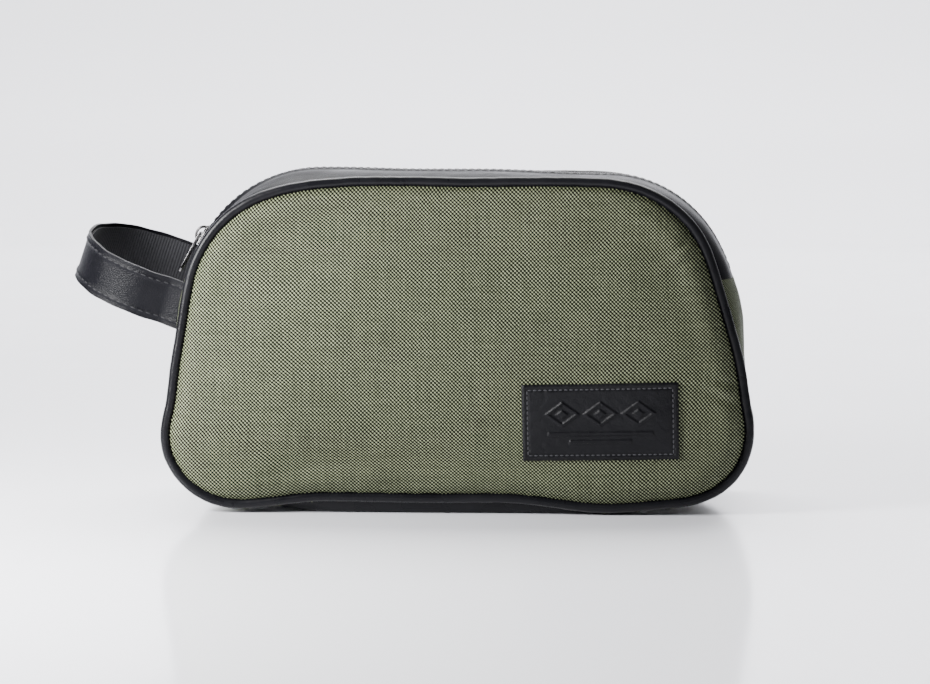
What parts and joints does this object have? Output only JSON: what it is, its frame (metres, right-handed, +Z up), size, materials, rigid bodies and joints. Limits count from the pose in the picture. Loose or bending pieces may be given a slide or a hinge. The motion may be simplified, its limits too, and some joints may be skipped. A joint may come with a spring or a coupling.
{
  "type": "toiletry bag",
  "caption": "Zipped toiletry bag that stands on a flat base: domed cloth panels edged with piping, a zip over the top and a short strap loop on one side.",
  "frame": {"origin": "centre of the flat base, on the surface the bag stands on", "axes": "+X to the right along the bag, away from the strap, +Y to the rear panel, +Z up; the front panel faces -Y"},
  "size_m": [0.3022, 0.1014, 0.146],
  "materials": {
    "olive_cloth": "coated olive basket weave, slight sheen",
    "black_leather": "smooth black coated leather, semi-gloss",
    "patch_leather": "grained black coated leather, stitched",
    "strap_leather": "pebbled black coated leather, stitched",
    "strap_webbing": "ribbed black webbing",
    "black_lining": "thin plain-woven lining",
    "foam": "closed-cell foam sheet",
    "piping_cord": "extruded piping cord",
    "stiff_board": "stiff sheet",
    "zip_tape": "woven zip tape",
    "zip_coil": "nylon coil",
    "zip_metal": "polished gunmetal plating"
  },
  "bodies": {
    "root": {"front_panel_cloth_lower": "olive_cloth", "rear_panel_cloth": "olive_cloth", "left_gusset_cloth": "olive_cloth", "right_gusset_cloth": "olive_cloth", "front_panel_foam_lower": "foam", "rear_panel_foam": "foam", "left_gusset_foam": "foam", "right_gusset_foam": "foam", "front_panel_lining_lower": "black_lining", "rear_panel_lining": "black_lining", "lower_lining": "black_lining", "rear_band_lining": "black_lining", "front_piping_lower": "black_leather", "rear_piping": "black_leather", "front_piping_cord_lower": "piping_cord", "rear_piping_cord": "piping_cord", "base_panel": "black_leather", "base_board": "stiff_board", "rear_zip_band": "black_leather", "front_zip_tape_ends": "zip_tape", "rear_zip_tape": "zip_tape", "front_zip_coil_ends": "zip_coil", "rear_zip_coil": "zip_coil", "zip_end_stops": "zip_metal", "label_patch": "patch_leather", "strap_end_front": "strap_leather", "strap_end_rear": "strap_leather"},
    "front_lip": {"front_panel_cloth_upper": "olive_cloth", "front_panel_foam_upper": "foam", "front_panel_lining_upper": "black_lining", "front_piping_upper": "black_leather", "front_piping_cord_upper": "piping_cord", "front_zip_band": "black_leather", "front_band_lining": "black_lining", "front_zip_tape": "zip_tape", "front_zip_coil": "zip_coil"},
    "zip_slider": {"zip_slider": "zip_metal"},
    "zip_pull": {"zip_pull": "zip_metal"},
    "wrist_strap": {"strap_face": "strap_leather", "strap_lining": "strap_webbing"}
  },
  "joints": [
    {"name": "mouth", "type": "hinge", "parent": "root", "child": "front_lip", "pos_m": [0, -0.0444, 0.09985], "axis": [1, 0, 0], "range_deg": [0, 40]},
    {"name": "zip_travel", "type": "hinge", "parent": "root", "child": "zip_slider", "pos_m": [-0.06219, 0, 0.0886], "axis": [0, 1, 0], "range_deg": [0, 58]},
    {"name": "pull_swing", "type": "hinge", "parent": "zip_slider", "child": "zip_pull", "pos_m": [-0.11492, 0, 0.11723], "axis": [0, 1, 0], "range_deg": [0, 150]},
    {"name": "strap_swing", "type": "hinge", "parent": "root", "child": "wrist_strap", "pos_m": [-0.13104, 0, 0.09309], "axis": [0, 0.9968, 0.0802], "range_deg": [-25, 45], "stiffness_Nm_per_rad": 0.1}
  ]
}
